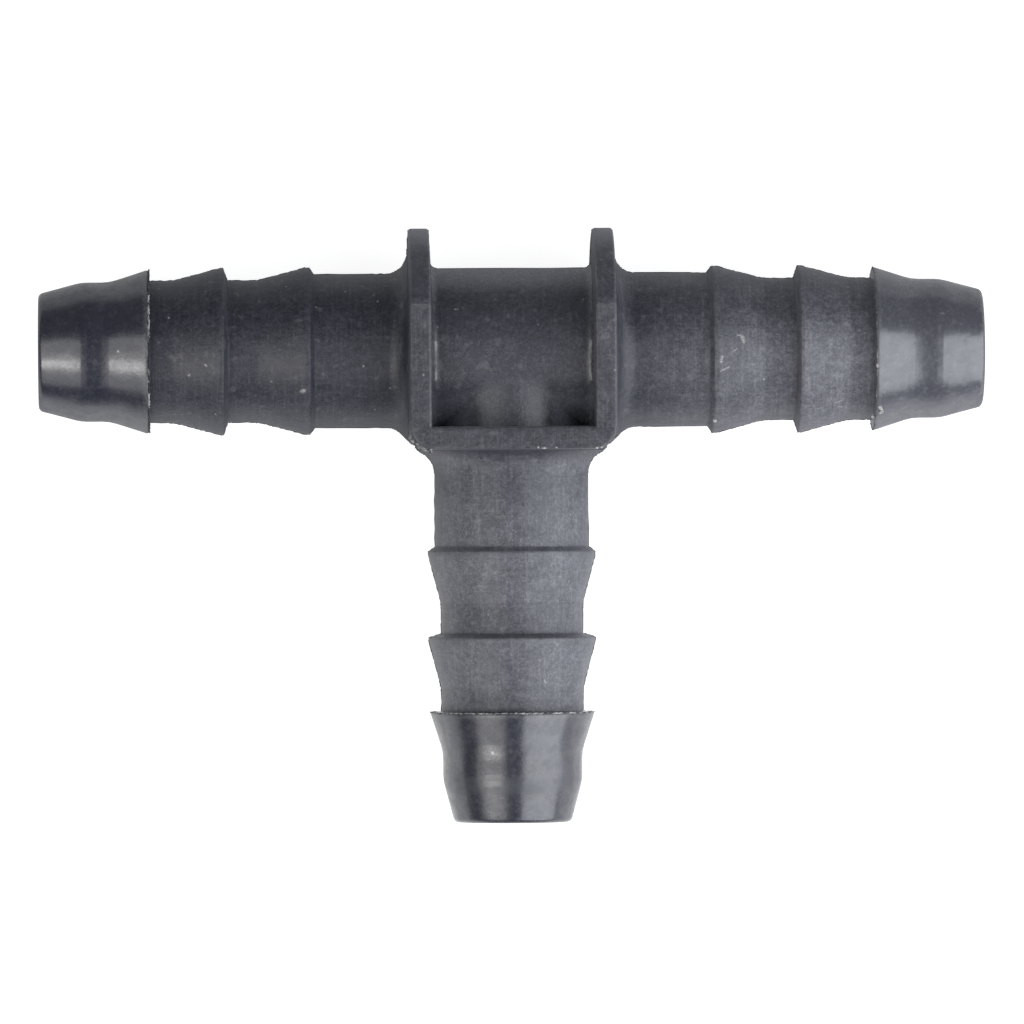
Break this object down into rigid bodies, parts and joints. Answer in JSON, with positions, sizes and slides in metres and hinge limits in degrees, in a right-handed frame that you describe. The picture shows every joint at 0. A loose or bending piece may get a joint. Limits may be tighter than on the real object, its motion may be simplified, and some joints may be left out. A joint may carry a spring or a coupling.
{
  "type": "barbed tee connector",
  "caption": "Equal barbed hose tee with square-sided hose stops round an open pocket at the junction, for low-pressure water lines.",
  "frame": {"origin": "where the axis of the run and the axis of the branch cross, at mid depth of the moulding", "axes": "+X along the run, -Y along the branch, +Z out of the front face; the mould parts on the plane z = 0"},
  "size_m": [0.08, 0.0503, 0.0192],
  "materials": {
    "moulded_plastic": "matte black moulded plastic",
    "polished_plastic": "the same black plastic, smoother where sliding cores formed the noses"
  },
  "bodies": {
    "root": {"centre_body": "moulded_plastic", "left_stop": "moulded_plastic", "right_stop": "moulded_plastic", "branch_stop": "moulded_plastic", "left_tail": "moulded_plastic", "right_tail": "moulded_plastic", "branch_tail": "moulded_plastic", "left_nose": "polished_plastic", "right_nose": "polished_plastic", "branch_nose": "polished_plastic"}
  },
  "joints": []
}
